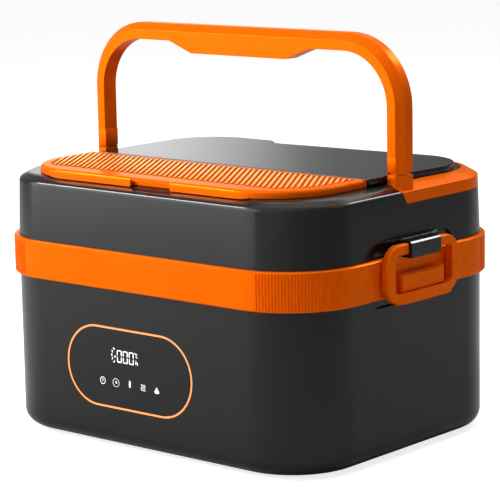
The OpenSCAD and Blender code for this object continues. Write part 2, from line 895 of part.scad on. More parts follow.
// Outline of the gloss plate. Behind its right side the back edge runs straight from the
// step's hollow arc to the rear corner, tangent to both.
module plate_outline() {
    hollow = [step_x + step_run, plate_back - plate_step + step_r];
    corner = [plate_right - plate_r, plate_back - plate_r];
    span = corner - hollow;
    turn = atan2(span[1], span[0]) + asin((step_r + plate_r) / norm(span));
    across = [-sin(turn), cos(turn)];
    difference() {
        union() {
            // left part with its rear corner
            translate([plate_left, plate_front])
                square([step_x - plate_left, plate_back - plate_r - plate_front]);
            translate([plate_left + plate_r, plate_front])
                square([step_x - plate_left - plate_r, plate_back - plate_front]);
            translate([plate_left + plate_r, plate_back - plate_r])
                circle(plate_r);
            // middle, step and right part
            translate([step_x - 0.5, plate_front])
                square([step_run + 1, plate_back - plate_step - 0.5 - plate_front]);
            plate_step_curve();
            polygon([[step_x + step_run - 0.5, plate_front], [plate_right, plate_front],
                     [plate_right, corner[1]], corner + plate_r * across, hollow - step_r * across,
                     [step_x + step_run - 0.5, plate_back - plate_step]]);
            translate(corner)
                circle(plate_r);
        }
        // notches for the handle posts
        for (side = [0, 1])
            mirror([side, 0, 0])
                translate([post_x0 - seat, handle_y - bar_d / 2 - seat])
                    square([bar_w, bar_d + 2 * seat]);
    }
}

module lid_plate() {
    color([0.02, 0.02, 0.02]) {
        translate([0, 0, plate_z])
            linear_extrude(plate_h)
                plate_outline();
        // foot that stands on the deck
        translate([plate_left + 8, plate_front + 4, deck_z])
            cube([plate_right - plate_left - 16, plate_back - plate_step - plate_front - 12,
                  plate_z - deck_z + 0.5]);
    }
}

module lid_frame() {
    color([0.95, 0.4, 0.02]) {
        intersection() {
            sweep(body_w, body_d, corner_r)
                frame_section(0);
            frame_zone(frame_y0);
        }
        for (side = [-1, 1])
            mirror([side < 0 ? 1 : 0, 0, 0])
                frame_post();
    }
}

// Plan section of the handle's leg and its post.
module leg_plan(grow) {
    x1 = post_x1 + grow;
    x0 = post_x0 - grow;
    h = bar_d / 2 + grow;
    translate([0, handle_y])
        polygon([[x0, -h], [x1 - bar_chamfer, -h], [x1, -h + bar_chamfer], [x1, h], [x0, h]]);
}

cheek_r = bar_d / 2 - cheek_back;
cheek_x1 = post_x1 - bar_chamfer - 0.1;
knuckle_x0 = cheek_x1 + gap;
post_foot = rim_z - 2;
post_top = pin_z - bar_d / 2 - gap;

// Post with the cheek that carries the hinge pin inside the handle's knuckle.
module frame_post() {
    front = handle_y - bar_d / 2;
    difference() {
        union() {
            translate([0, 0, post_foot])
                linear_extrude(post_top - post_foot)
                    leg_plan(0);
            rod_x(cheek_r, post_x0, cheek_x1, handle_y, pin_z);
            translate([post_x0, handle_y - cheek_r, post_top - 0.5])
                cube([cheek_x1 - post_x0, 2 * cheek_r, pin_z - post_top + 0.5]);
        }
        // sloped ledge in front of the cheek
        translate([post_x0 - 1, front, post_top])
            rotate([45, 0, 0])
                translate([0, -2, -cheek_back / sqrt(2)])
                    cube([bar_w - bar_chamfer + 1, 4, 3]);
        rod_x(handle_pin_r + 0.02, post_x0 + 0.8, cheek_x1 + 1, handle_y, pin_z);
    }
}

module handle_pins() {
    long = cheek_x1 - post_x0 + 1.6;
    color([0.7, 0.7, 0.72])
    for (side = [0, 1])
        mirror([side, 0, 0])
            rod_x(handle_pin_r, post_x0 + 0.85, post_x0 + 0.85 + long, handle_y, pin_z);
}

module handle() {
    leg_top = handle_top - handle_r;
    color([0.95, 0.4, 0.02])
    union() {
        for (side = [0, 1])
            mirror([side, 0, 0])
                handle_half(leg_top);
        // top bar
        translate([-(post_x1 - handle_r), handle_y, handle_top])
            rotate([0, 90, 0])
                linear_extrude(2 * (post_x1 - handle_r))
                    bar_section();
        // hand grip below the bar
        translate([0, handle_y + bar_d / 2, 0])
            rotate([90, 0, 0])
                linear_extrude(bar_d)
                    grip_outline();
    }
}

// Section of the bar seen along it: x is the depth below the outer face, y runs to the back.
module bar_section() {
    h = bar_d / 2;
    polygon([[bar_w, -h], [bar_chamfer, -h], [0, -h + bar_chamfer], [0, h], [bar_w, h]]);
}

module grip_outline() {
    under = handle_top - bar_w + 0.01;
    slope = 17.5;
    polygon([[-grip_len / 2 - slope, under], [-grip_len / 2, under - grip_drop],
             [grip_len / 2, under - grip_drop], [grip_len / 2 + slope, under]]);
}

module handle_half(leg_top) {
    h = bar_d / 2;
    difference() {
        translate([0, 0, pin_z - h])
            linear_extrude(leg_top - pin_z + h)
                leg_plan(0);
        // room for the post's cheek
        translate([post_x0 - 1, handle_y - bar_d, pin_z - bar_d])
            cube([knuckle_x0 - post_x0 + 1, 2 * bar_d, bar_d + cheek_r + gap]);
        // rounded heel that clears the post when the handle folds back
        difference() {
            translate([post_x0 - 1, handle_y, pin_z - h - 1])
                cube([bar_w + 2, h + 1, h + 1]);
            rod_x(h, post_x0 - 2, post_x1 + 2, handle_y, pin_z);
        }
        rod_x(handle_pin_r + play, post_x0, cheek_x1 + 2.6, handle_y, pin_z);
    }
    // corner
    translate([post_x1 - handle_r, handle_y, leg_top])
        rotate([90, 0, 0])
            rotate_extrude(angle = 90)
                translate([handle_r, 0])
                    rotate(180)
                        bar_section();
}

module cutlery_tray() {
    y0 = tray_y0 + seat;
    y1 = tray_y1 - seat;
    x = tray_x - seat;
    r = tray_r - seat;
    color([0.16, 0.16, 0.16])
    difference() {
        translate([0, (y0 + y1) / 2, deck_z - tray_h])
            rounded_block(2 * x, y1 - y0, r, tray_h);
        translate([0, (y0 + y1) / 2, deck_z - tray_h + tray_t])
            rounded_block(2 * x - 2 * tray_t, y1 - y0 - 2 * tray_t, r - tray_t, tray_h);
    }
}

module cutlery_cover() {
    skin = 1.4;
    mid = (cover_front + cover_back) / 2;
    color([0.95, 0.4, 0.02])
    difference() {
        union() {
            intersection() {
                filled_sweep(cover_w, 2 * abs(cover_front), cover_r, cover_z - lip_drop, cover_z + cover_h)
                    cover_edge();
                translate([-body_w, cover_front - 5, cover_z - lip_drop - 1])
                    cube([2 * body_w, hinge_y - cover_front + 5, 20]);
            }
            // rounded back edge round the hinge line
            intersection() {
                rod_x(hinge_r, -cover_w / 2, cover_w / 2, hinge_y, hinge_z);
                translate([-body_w, hinge_y - 0.01, cover_z])
                    cube([2 * body_w, 20, 20]);
            }
        }
        // underside that follows the lid's deck and shoulder
        filled_sweep(body_w, body_d, corner_r, lid_z, deck_z + cover_rest)
            lid_top_room(cover_rest);
        // hollow underside, with lugs left on the hinge pins
        difference() {
            translate([0, 0, cover_z - 1])
                linear_extrude(cover_h - skin + 1)
                    intersection() {
                        rounded(cover_w - 8, 2 * abs(cover_front) - 8, cover_r - 4);
                        translate([-body_w, cover_front - 1])
                            square([2 * body_w, hinge_y - cover_front + 1]);
                    }
            for (side = [-1, 1])
                translate([side * (ear_x - 4.5) - 2.5, hinge_y - 4, cover_z - 1])
                    cube([5, 8, 20]);
        }
        for (side = [-1, 1])
            rod_x(cover_pin_r + play, side * (ear_x - 3.9) - 4, side * (ear_x - 3.9) + 4, hinge_y, hinge_z);
        // notches that clear the hinge ears
        for (side = [-1, 1]) {
            rod_x(ear_r + gap, side * ear_x - 1.9, side * ear_x + 1.9, hinge_y, hinge_z);
            translate([side * ear_x - 1.9, hinge_y - ear_r - gap, cover_z - 1])
                cube([3.8, ear_r + gap + 8, 1 + hinge_z - cover_z]);
            translate([side * ear_x - 1.9, hinge_y + 1, cover_z - 1])
                cube([3.8, 8, 1 + hinge_z - cover_z + ear_r]);
        }
        // slanted grooves between the ribs
        intersection() {
            translate([0, 0, cover_z + cover_h - 0.8])
                linear_extrude(5)
                    rib_field();
            for (k = [-50 : 50])
                translate([k * slant_pitch, mid, cover_z + cover_h - 1])
                    rotate([0, 0, 180 - slant_angle])
                        translate([-60, -0.65, 0])
                            cube([120, 1.3, 4]);
        }
        // finger notch with an undercut
        translate([notch_x - notch_w / 2, cover_front - 5, cover_z - lip_drop - 1])
            cube([notch_w, 5 + 0.9, 20]);
        translate([notch_x - notch_w / 2, cover_front - 5, cover_z - lip_drop - 1])
            cube([notch_w, 5 + 3, lip_drop + 1 + 2.3]);
    }
}

notch_x = 5;
notch_w = 30;
cover_rest = cover_z - deck_z;
lip_drop = 1.1;

module cover_edge() {
    top = cover_z + cover_h;
    round = 2.2;
    translate([0, cover_z - lip_drop])
        square([cover_r, cover_h + lip_drop - round]);
    translate([0, cover_z - lip_drop])
        square([cover_r - round, cover_h + lip_drop]);
    translate([cover_r - round, top - round])
        circle(round);
}

// The ribbed field of the cover, inside a plain border.
module rib_field() {
    border = 4;
    intersection() {
        rounded(cover_w - 2 * border, 2 * abs(cover_front) - 2 * border - 6, cover_r - border);
        translate([-body_w, cover_front + 12.6])
            square([2 * body_w, cover_back - hinge_r - 1.5 - cover_front - 12.6]);
    }
}

module cover_pins() {
    color([0.7, 0.7, 0.72])
    for (side = [-1, 1])
        rod_x(cover_pin_r, side * (ear_x - 2.6) - 4.2, side * (ear_x - 2.6) + 4.2, hinge_y, hinge_z);
}

// ---- latches ----

pin_x = ring_back + ring_t / 2;
pin_y = ring_top - ring_bar / 2;

module latch_clips() {
    back = half_w - pocket_deep + 0.05;
    front = ring_front + 1.6;
    low = ring_top - 8.2;
    half_flange = flange_w / 2;
    color([0.05, 0.05, 0.05])
    for (side = [0, 180])
        rotate([0, 0, side])
            difference() {
                union() {
                    // hook round the pin
                    translate([0, clip_w / 2, 0])
                        rotate([90, 0, 0])
                            linear_extrude(clip_w)
                                polygon([[back, flange_top], [front - 1, ring_top + 0.9], [front, ring_top],
                                         [front, low], [ring_back - 0.2, low], [ring_back - 0.2, band_top + 1.2],
                                         [back, band_top + 1.2]]);
                    // flared root in the pocket
                    translate([0, 0, flange_top - 1.6])
                        linear_extrude(1.6)
                            polygon([[back, -half_flange], [back + 1.6, -half_flange], [ring_back - 0.8, -clip_w / 2],
                                     [ring_back - 0.8, clip_w / 2], [back + 1.6, half_flange], [back, half_flange]]);
                }
                rod_y(latch_pin_r + play, -clip_w, clip_w, pin_x, pin_y);
            }
}

module latch_ring() {
    ry = ring_w / 2;
    inner_w = ring_w - 2 * ring_side;
    inner_h = ring_h - 2 * ring_bar;
    lip_w = catch_w + 3;
    mid_z = ring_bottom + ring_h / 2;
    difference() {
        union() {
            difference() {
                translate([ring_back, 0, mid_z])
                    rotate([90, 0, 90])
                        filled_sweep(ring_w, ring_h, 12, 0, ring_t)
                            ring_edge();
                translate([ring_back - 1, 0, mid_z])
                    rotate([90, 0, 90])
                        linear_extrude(ring_t + 2)
                            rounded(inner_w, inner_h, 3.5);
                // relief that passes outside the catch
                translate([ring_back - 1, -lip_w / 2, ring_bottom - 1])
                    cube([catch_front + 0.3 - ring_back + 1, lip_w, ring_bar + 2]);
            }
            // pull lip over the catch
            translate([0, 0, ring_bottom])
                linear_extrude(ring_bar)
                    polygon([[ring_front - 1.6, -lip_w / 2 - 4], [ring_front, -lip_w / 2 - 4],
                             [ring_front + 1.9, -lip_w / 2 + 2], [ring_front + 1.9, lip_w / 2 - 2],
                             [ring_front, lip_w / 2 + 4], [ring_front - 1.6, lip_w / 2 + 4],
                             [catch_front + 0.3, lip_w / 2], [catch_front + 0.3, -lip_w / 2]]);
        }
        // gap for the clip and bore for the pin
        translate([ring_back - 1, -clip_w / 2 - gap, ring_top - ring_bar - 1])
            cube([ring_t + 2, clip_w + 2 * gap, ring_bar + 2]);
        rod_y(latch_pin_r + 0.02, -clip_w / 2 - 8, clip_w / 2 + 8, pin_x, pin_y);
    }
}

module ring_edge() {
    round = 1.2;
    square([12 - round, ring_t]);
    translate([0, round])
        square([12, ring_t - 2 * round]);
    for (y = [round, ring_t - round])
        translate([12 - round, y])
            circle(round);
}

module latch_ring_right() {
    color([0.95, 0.4, 0.02])
        latch_ring();
}

module latch_ring_left() {
    color([0.95, 0.4, 0.02])
        rotate([0, 0, 180])
            latch_ring();
}

module latch_pin() {
    rod_y(latch_pin_r, -clip_w / 2 - 7.8, clip_w / 2 + 7.8, pin_x, pin_y);
}

module latch_pin_right() {
    color([0.7, 0.7, 0.72])
        latch_pin();
}

module latch_pin_left() {
    color([0.7, 0.7, 0.72])
        rotate([0, 0, 180])
            latch_pin();
}

base_shell();
waist_band();
bottom_cover();
feet();
bottom_screws();
display_ring();
display_panel();
control_board();
heating_well();
heating_plate();
heating_element();
thermostat();
power_board();
power_inlet();
inlet_pins();
food_pot();
pot_lid();
pot_seal();
pot_valve();
lid_shell();
lid_liner();
lid_seal();
lid_screws();
lid_plate();
lid_frame();
cutlery_tray();
latch_clips();
latch_ring_right();
latch_ring_left();
latch_pin_right();
latch_pin_left();
cutlery_cover();
cover_pins();
handle();
handle_pins();
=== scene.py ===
import json
import math

import bpy
from mathutils import Matrix, Vector


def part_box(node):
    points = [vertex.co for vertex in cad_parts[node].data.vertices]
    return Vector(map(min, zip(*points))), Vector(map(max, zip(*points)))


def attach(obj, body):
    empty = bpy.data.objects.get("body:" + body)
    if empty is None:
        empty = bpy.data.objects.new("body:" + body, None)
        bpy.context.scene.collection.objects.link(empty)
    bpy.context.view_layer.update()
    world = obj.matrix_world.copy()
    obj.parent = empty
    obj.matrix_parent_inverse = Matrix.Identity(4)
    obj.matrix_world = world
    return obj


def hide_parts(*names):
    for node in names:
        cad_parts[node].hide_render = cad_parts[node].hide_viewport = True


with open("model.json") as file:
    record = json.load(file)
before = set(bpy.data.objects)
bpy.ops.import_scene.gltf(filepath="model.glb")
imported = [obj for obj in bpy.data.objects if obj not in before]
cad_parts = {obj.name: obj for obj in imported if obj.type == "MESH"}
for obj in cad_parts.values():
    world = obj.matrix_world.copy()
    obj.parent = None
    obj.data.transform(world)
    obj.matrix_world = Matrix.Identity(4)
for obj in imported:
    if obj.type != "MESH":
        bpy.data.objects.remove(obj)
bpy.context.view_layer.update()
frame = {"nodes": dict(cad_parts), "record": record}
nodes = frame["nodes"]
record = frame["record"]
mm = 0.001
bodyOf = {node: body for body, held in record["behaviour"]["bodies"].items() for node in held}
slotOf = {entry["node"]: entry["material_slot"] for entry in record["subparts"]}
print("frame loaded:", len(nodes), "nodes")

cameraValues = {
    "azimuth": 40.74,  # degrees round from the front
    "elevation": 10.29,
    "roll": -1.08,
    "distance": 1.33227,
    "target": (0.00146, 0.0, 0.10389),
    "lens": 162.83,
}


def addCamera(values):
    azimuth, elevation, roll = (math.radians(values[key]) for key in ("azimuth", "elevation", "roll"))
    back = Vector((
        math.sin(azimuth) * math.cos(elevation),
        -math.cos(azimuth) * math.cos(elevation),
        math.sin(elevation),
    ))
    right = (-back).cross(Vector((0, 0, 1))).normalized()
    up = right.cross(-back)
    turnedRight = math.cos(roll) * right + math.sin(roll) * up
    turnedUp = math.cos(roll) * up - math.sin(roll) * right
    turn = Matrix((turnedRight, turnedUp, back)).transposed().to_4x4()
    data = bpy.data.cameras.new("camera")
    data.lens = values["lens"]
    data.sensor_width = 36
    data.clip_end = 30
    camera = bpy.data.objects.new("camera", data)
    camera.matrix_world = Matrix.Translation(Vector(values["target"]) + back * values["distance"]) @ turn
    bpy.context.scene.collection.objects.link(camera)
    bpy.context.scene.camera = camera


addCamera(cameraValues)
print("camera set")

# Lamps in metres and watts; "aim" is the point that a lamp faces.
studioValues = {
    "worldStrength": 0.22,
    "floor": {
        "size": 14,
        "color": (0.5, 0.5, 0.5),
        "roughness": 0.9,
        "specular": 0.1,
        "lift": 0.8,  # extra white that the camera sees
    },
    "lamps": {
        "keyPanel": {"power": 11.5, "size": (1.2, 0.85), "place": (-0.66, -0.86, 0.43), "aim": (0, 0, 0.12)},
        "creaseLamp": {"power": 9.0, "size": (0.5, 0.13), "place": (-0.76, -0.59, 0.82), "aim": (0, 0, 0.15)},
        "rimLamp": {"power": 3.0, "size": (0.35, 0.15), "place": (0.25, 0.95, 0.9), "aim": (0.05, 0, 0.13)},
        "topLamp": {"power": 18.0, "size": (0.8, 0.8), "place": (0.1, 0.2, 1.5), "aim": (0, 0, 0.15),
                    "gloss": False},
    },
    # A tall curved card that only gloss sees.
    # Each stop is degrees from the front, round the left, and its brightness.
    "card": {
        "radius": 1.5,
        "height": 2.4,
        "backHeight": 0.75,  # above this the card is white behind the object
        "backStart": 0.4,  # how far behind the middle that white starts
        "leftEnd": -1.0,  # how far left it reaches
        "stops": [(0, 0.9), (70, 0.9), (78, 0.25), (122, 0.25), (128, 1.5), (134.5, 1.5), (136, 1.32),
                  (138.5, 0.94), (140, 0.7), (141.1, 0.5), (142.6, 0.28), (145, 0.25), (148, 0.17),
                  (170, 0.15), (250, 0.3), (300, 0.6), (360, 0.9)],
    },
}


def addMath(tree, operation, *values):
    node = tree.nodes.new("ShaderNodeMath")
    node.operation = operation
    for index, value in enumerate(values):
        if isinstance(value, (int, float)):
            node.inputs[index].default_value = value
        else:
            tree.links.new(value, node.inputs[index])
    return node.outputs["Value"]


def addLamp(name, values):
    data = bpy.data.lights.new(name, "AREA")
    data.shape = "RECTANGLE"
    data.size, data.size_y = values["size"]
    data.energy = values["power"]
    lamp = bpy.data.objects.new(name, data)
    away = Vector(values["place"]) - Vector(values["aim"])
    turn = away.to_track_quat("Z", "Y").to_matrix().to_4x4()
    lamp.matrix_world = Matrix.Translation(values["place"]) @ turn
    lamp.visible_camera = False
    lamp.visible_glossy = values.get("gloss", True)
    bpy.context.scene.collection.objects.link(lamp)


def addSeenMask(tree):
    # One where the camera, gloss or glass looks, nought for plain lighting.
    path = tree.nodes.new("ShaderNodeLightPath")
    total = path.outputs["Is Camera Ray"]
    for label in ("Is Glossy Ray", "Is Transmission Ray"):
        total = addMath(tree, "MAXIMUM", total, path.outputs[label])
    return total


def addWorld(values):
    world = bpy.data.worlds.new("studio")
    world.use_nodes = True
    bpy.context.scene.world = world
    tree = world.node_tree
    tree.nodes.clear()
    lighting = tree.nodes.new("ShaderNodeBackground")
    lighting.inputs["Color"].default_value = (1, 1, 1, 1)
    lighting.inputs["Strength"].default_value = values["worldStrength"]
    seen = tree.nodes.new("ShaderNodeBackground")
    seen.inputs["Color"].default_value = (1, 1, 1, 1)
    seen.inputs["Strength"].default_value = 1.0
    mix = tree.nodes.new("ShaderNodeMixShader")
    output = tree.nodes.new("ShaderNodeOutputWorld")
    tree.links.new(addSeenMask(tree), mix.inputs["Fac"])
    tree.links.new(lighting.outputs["Background"], mix.inputs[1])
    tree.links.new(seen.outputs["Background"], mix.inputs[2])
    tree.links.new(mix.outputs["Shader"], output.inputs["Surface"])


def addFloor(values):
    bpy.ops.object.select_all(action="DESELECT")
    bpy.ops.mesh.primitive_plane_add(size=values["size"])
    floor = bpy.context.object
    floor.name = "floor"
    material = bpy.data.materials.new("paleFloor")
    material.use_nodes = True
    tree = material.node_tree
    shader = tree.nodes["Principled BSDF"]
    shader.inputs["Base Color"].default_value = (*values["color"], 1)
    shader.inputs["Roughness"].default_value = values["roughness"]
    shader.inputs["Specular IOR Level"].default_value = values["specular"]
    path = tree.nodes.new("ShaderNodeLightPath")
    lift = addMath(tree, "MULTIPLY", path.outputs["Is Camera Ray"], values["lift"])
    shader.inputs["Emission Color"].default_value = (1, 1, 1, 1)
    tree.links.new(lift, shader.inputs["Emission Strength"])
    floor.data.materials.append(material)


def addCard(values):
    bpy.ops.object.select_all(action="DESELECT")
    bpy.ops.mesh.primitive_cylinder_add(
        vertices=96, radius=values["radius"], depth=values["height"], end_fill_type="NOTHING",
        location=(0, 0, values["height"] / 2 + 0.001),
    )
    card = bpy.context.object
    card.name = "glossCard"
    bpy.ops.object.transform_apply(location=True)
    material = bpy.data.materials.new("cardGlow")
    material.use_nodes = True
    tree = material.node_tree
    shader = tree.nodes["Principled BSDF"]
    shader.inputs["Base Color"].default_value = (0, 0, 0, 1)
    shader.inputs["Roughness"].default_value = 1.0
    shader.inputs["Specular IOR Level"].default_value = 0.0
    place = tree.nodes.new("ShaderNodeTexCoord")
    split = tree.nodes.new("ShaderNodeSeparateXYZ")
    tree.links.new(place.outputs["Object"], split.inputs["Vector"])
    turn = addMath(tree, "ARCTAN2", addMath(tree, "MULTIPLY", split.outputs["X"], -1.0),
                   addMath(tree, "MULTIPLY", split.outputs["Y"], -1.0))
    share = addMath(tree, "FRACT", addMath(tree, "ADD", addMath(tree, "DIVIDE", turn, 2 * math.pi), 1.0))
    ramp = tree.nodes.new("ShaderNodeValToRGB")
    stops = ramp.color_ramp.elements
    brightest = max(value for angle, value in values["stops"])
    for angle, value in values["stops"]:
        stop = stops.new(angle / 360)
        level = value / brightest
        stop.color = (level, level, level, 1)
    stops.remove(stops[0])
    stops.remove(stops[-1])
    tree.links.new(share, ramp.inputs["Fac"])
    behind = addMath(tree, "GREATER_THAN", split.outputs["Y"], values["backStart"])
    above = addMath(tree, "GREATER_THAN", split.outputs["Z"], values["backHeight"])
    right = addMath(tree, "GREATER_THAN", split.outputs["X"], values["leftEnd"])
    white = addMath(tree, "MULTIPLY", addMath(tree, "MULTIPLY", behind, above), right)
    low = addMath(tree, "MULTIPLY", ramp.outputs["Color"], brightest)
    strength = addMath(tree, "MAXIMUM", low, white)
    shader.inputs["Emission Color"].default_value = (1, 1, 1, 1)
    tree.links.new(strength, shader.inputs["Emission Strength"])
    card.data.materials.append(material)
    card.visible_camera = False
    card.visible_diffuse = False
    card.visible_shadow = False
    card.visible_transmission = False


addWorld(studioValues)
addFloor(studioValues["floor"])
addCard(studioValues["card"])
for lampName, lampValues in studioValues["lamps"].items():
    addLamp(lampName, lampValues)
bpy.context.scene.view_settings.view_transform = "Standard"
print("studio set")

# Shader groups that several materials share.


def newGroup(name, inputs, outputs):
    group = bpy.data.node_groups.new(name, "ShaderNodeTree")
    for label, kind, value in inputs:
        socket = group.interface.new_socket(label, in_out="INPUT", socket_type=kind)
        socket.default_value = value
    for label, kind in outputs:
        group.interface.new_socket(label, in_out="OUTPUT", socket_type=kind)
    return group, group.nodes.new("NodeGroupInput"), group.nodes.new("NodeGroupOutput")


def addNoise(tree, scale, detail, stretch=None):
    place = tree.nodes.new("ShaderNodeTexCoord").outputs["Object"]
    if stretch is not None:
        mapping = tree.nodes.new("ShaderNodeVectorMath")
        mapping.operation = "MULTIPLY"
        tree.links.new(place, mapping.inputs[0])
        tree.links.new(stretch, mapping.inputs[1])
        place = mapping.outputs["Vector"]
    noise = tree.nodes.new("ShaderNodeTexNoise")
    noise.inputs["Detail"].default_value = detail
    tree.links.new(place, noise.inputs["Vector"])
    tree.links.new(scale, noise.inputs["Scale"])
    return noise.outputs["Fac"]


def makeGrainGroup():
    # Fine moulded or brushed grain with slow clouds of colour and roughness.
    number = "NodeSocketFloat"
    group, given, result = newGroup(
        "mouldedGrain",
        [("Grain Scale", number, 2600.0), ("Grain Stretch", "NodeSocketVector", (1, 1, 1)),
         ("Cloud Scale", number, 18.0), ("Roughness", number, 0.4), ("Roughness Spread", number, 0.06),
         ("Color", "NodeSocketColor", (0.5, 0.5, 0.5, 1)), ("Color Spread", number, 0.06)],
        [("Color", "NodeSocketColor"), ("Roughness", number), ("Height", number)],
    )
    grain = addNoise(group, given.outputs["Grain Scale"], 3, given.outputs["Grain Stretch"])
    cloud = addMath(group, "SUBTRACT", addNoise(group, given.outputs["Cloud Scale"], 4), 0.5)
    fine = addMath(group, "SUBTRACT", grain, 0.5)
    mixed = addMath(group, "MULTIPLY_ADD", fine, 0.5, cloud)
    rough = addMath(group, "MULTIPLY_ADD", mixed,
                    given.outputs["Roughness Spread"], given.outputs["Roughness"])
    shade = addMath(group, "MULTIPLY_ADD", mixed, given.outputs["Color Spread"], 1.0)
    tint = group.nodes.new("ShaderNodeVectorMath")
    tint.operation = "SCALE"
    group.links.new(given.outputs["Color"], tint.inputs[0])
    group.links.new(shade, tint.inputs["Scale"])
    group.links.new(tint.outputs["Vector"], result.inputs["Color"])
    group.links.new(rough, result.inputs["Roughness"])
    group.links.new(grain, result.inputs["Height"])
    return group


def makeWearGroup():
    # Edges that hands and bags have polished: one on a sharp edge, broken up by noise.
    number = "NodeSocketFloat"
    group, given, result = newGroup(
        "edgeWear",
        [("Width", number, 0.0006), ("Amount", number, 0.5), ("Patch Scale", number, 90.0)],
        [("Mask", number)],
    )
    rounded = group.nodes.new("ShaderNodeBevel")
    rounded.samples = 4
    group.links.new(given.outputs["Width"], rounded.inputs["Radius"])
    geometry = group.nodes.new("ShaderNodeNewGeometry")
    product = group.nodes.new("ShaderNodeVectorMath")
    product.operation = "DOT_PRODUCT"
    group.links.new(rounded.outputs["Normal"], product.inputs[0])
    group.links.new(geometry.outputs["Normal"], product.inputs[1])
    turned = addMath(group, "SUBTRACT", 1.0, product.outputs["Value"])
    edge = addMath(group, "MULTIPLY", turned, 6.0)
    patches = addNoise(group, given.outputs["Patch Scale"], 4)
    broken = addMath(group, "MULTIPLY_ADD", patches, 3.0, -1.0)
    kept = addMath(group, "MULTIPLY", edge, broken)
    kept.node.use_clamp = True
    strength = addMath(group, "MULTIPLY", kept, given.outputs["Amount"])
    strength.node.use_clamp = True
    group.links.new(strength, result.inputs["Mask"])
    return group


def makeDustGroup():
    # A thin film of dust on what faces up.
    number = "NodeSocketFloat"
    group, given, result = newGroup(
        "dustFilm",
        [("Amount", number, 0.1), ("Speck Scale", number, 160.0)],
        [("Mask", number)],
    )
    geometry = group.nodes.new("ShaderNodeNewGeometry")
    split = group.nodes.new("ShaderNodeSeparateXYZ")
    group.links.new(geometry.outputs["Normal"], split.inputs["Vector"])
    upward = addMath(group, "MULTIPLY_ADD", split.outputs["Z"], 1.4, -0.4)
    upward.node.use_clamp = True
    specks = addNoise(group, given.outputs["Speck Scale"], 5)
    film = addMath(group, "MULTIPLY", upward, specks)
    strength = addMath(group, "MULTIPLY", film, given.outputs["Amount"])
    strength.node.use_clamp = True
    group.links.new(strength, result.inputs["Mask"])
    return group


def makeRibGroup():
    # Where the ribbed field is, and how far up a rib a point lies. Lengths in metres.
    number = "NodeSocketFloat"
    group, given, result = newGroup(
        "ribField",
        [("Half Width", number, 0.1), ("Half Depth", number, 0.08), ("Corner", number, 0.036),
         ("Front", number, -0.0758), ("Back", number, -0.0272),
         ("Floor", number, 0.1572), ("Rise", number, 0.00038)],
        [("Field", number), ("Height", number)],
    )
    place = group.nodes.new("ShaderNodeTexCoord")
    split = group.nodes.new("ShaderNodeSeparateXYZ")
    group.links.new(place.outputs["Object"], split.inputs["Vector"])
    offsets = []
    for axis, label in (("X", "Half Width"), ("Y", "Half Depth")):
        straight = addMath(group, "SUBTRACT", given.outputs[label], given.outputs["Corner"])
        beyond = addMath(group, "SUBTRACT", addMath(group, "ABSOLUTE", split.outputs[axis]), straight)
        beyond = addMath(group, "MAXIMUM", beyond, 0.0)
        offsets.append(addMath(group, "MULTIPLY", beyond, beyond))
    away = addMath(group, "SQRT", addMath(group, "ADD", *offsets))
    inside = addMath(group, "LESS_THAN", away, given.outputs["Corner"])
    behind = addMath(group, "GREATER_THAN", split.outputs["Y"], given.outputs["Front"])
    ahead = addMath(group, "LESS_THAN", split.outputs["Y"], given.outputs["Back"])
    low = addMath(group, "SUBTRACT", split.outputs["Z"], given.outputs["Floor"])
    above = addMath(group, "GREATER_THAN", low, -0.0002)
    field = addMath(group, "MULTIPLY", addMath(group, "MULTIPLY", inside, behind),
                    addMath(group, "MULTIPLY", ahead, above))
    height = addMath(group, "DIVIDE", low, given.outputs["Rise"])
    height.node.use_clamp = True
    group.links.new(field, result.inputs["Field"])
    group.links.new(height, result.inputs["Height"])
    return group


grainGroup = makeGrainGroup()
ribGroup = makeRibGroup()
wearGroup = makeWearGroup()
dustGroup = makeDustGroup()


def blendColor(tree, mask, first, second):
    mix = tree.nodes.new("ShaderNodeMix")
    mix.data_type = "RGBA"
    tree.links.new(mask, mix.inputs["Factor"])
    tree.links.new(first, mix.inputs["A"])
    mix.inputs["B"].default_value = (*second, 1)
    return mix.outputs["Result"]


def paintRibLightAndShade(tree, color, values):
    # Painted shade: the foot of each rib takes a dark groove colour. Painted highlight: rib tops turn pale at
    # a glancing look, in place of their reflection.
    ribs = tree.nodes.new("ShaderNodeGroup")
    ribs.node_tree = ribGroup
    # painted highlight: rib tops blend towards a pale colour at a glancing look
    glance = tree.nodes.new("ShaderNodeLayerWeight")
    glance.inputs["Blend"].default_value = values["blend"]
    facing = addMath(tree, "POWER", glance.outputs["Facing"], values["falloff"])
    ribPaintedHighlight = addMath(tree, "MULTIPLY", facing, ribs.outputs["Height"])
    ribPaintedHighlight = addMath(tree, "MULTIPLY", ribPaintedHighlight, ribs.outputs["Field"])
    color = blendColor(tree, ribPaintedHighlight, color, values["top"])
    # painted shade, darkest at the groove floor between the ribs
    shade = addMath(tree, "SUBTRACT", 1.0, ribs.outputs["Height"])
    shade = addMath(tree, "MULTIPLY", shade, ribs.outputs["Field"])
    return blendColor(tree, addMath(tree, "MULTIPLY", shade, values["depth"]), color, values["paintedGrooveShade"])


# What a finish has when it says nothing else.
plainFinish = {
    "colorSpread": 0.1, "roughnessSpread": 0.08,
    "grainScale": 2600, "grainStretch": (1, 1, 1), "cloudScale": 18,
    "bump": 0.15, "bumpDepth": 0.05 * mm, "wearWidth": 0.5 * mm, "wearPolish": -0.1,
    "dustColor": (0.5, 0.48, 0.45), "dustRoughness": 0.4, "metallic": 0.0, "ior": 1.5, "specular": 0.5,
    "specularTint": (1, 1, 1), "clear": 0.0, "sheen": 0.0, "sheenRoughness": 0.35, "sheenTint": (1, 1, 1),
}


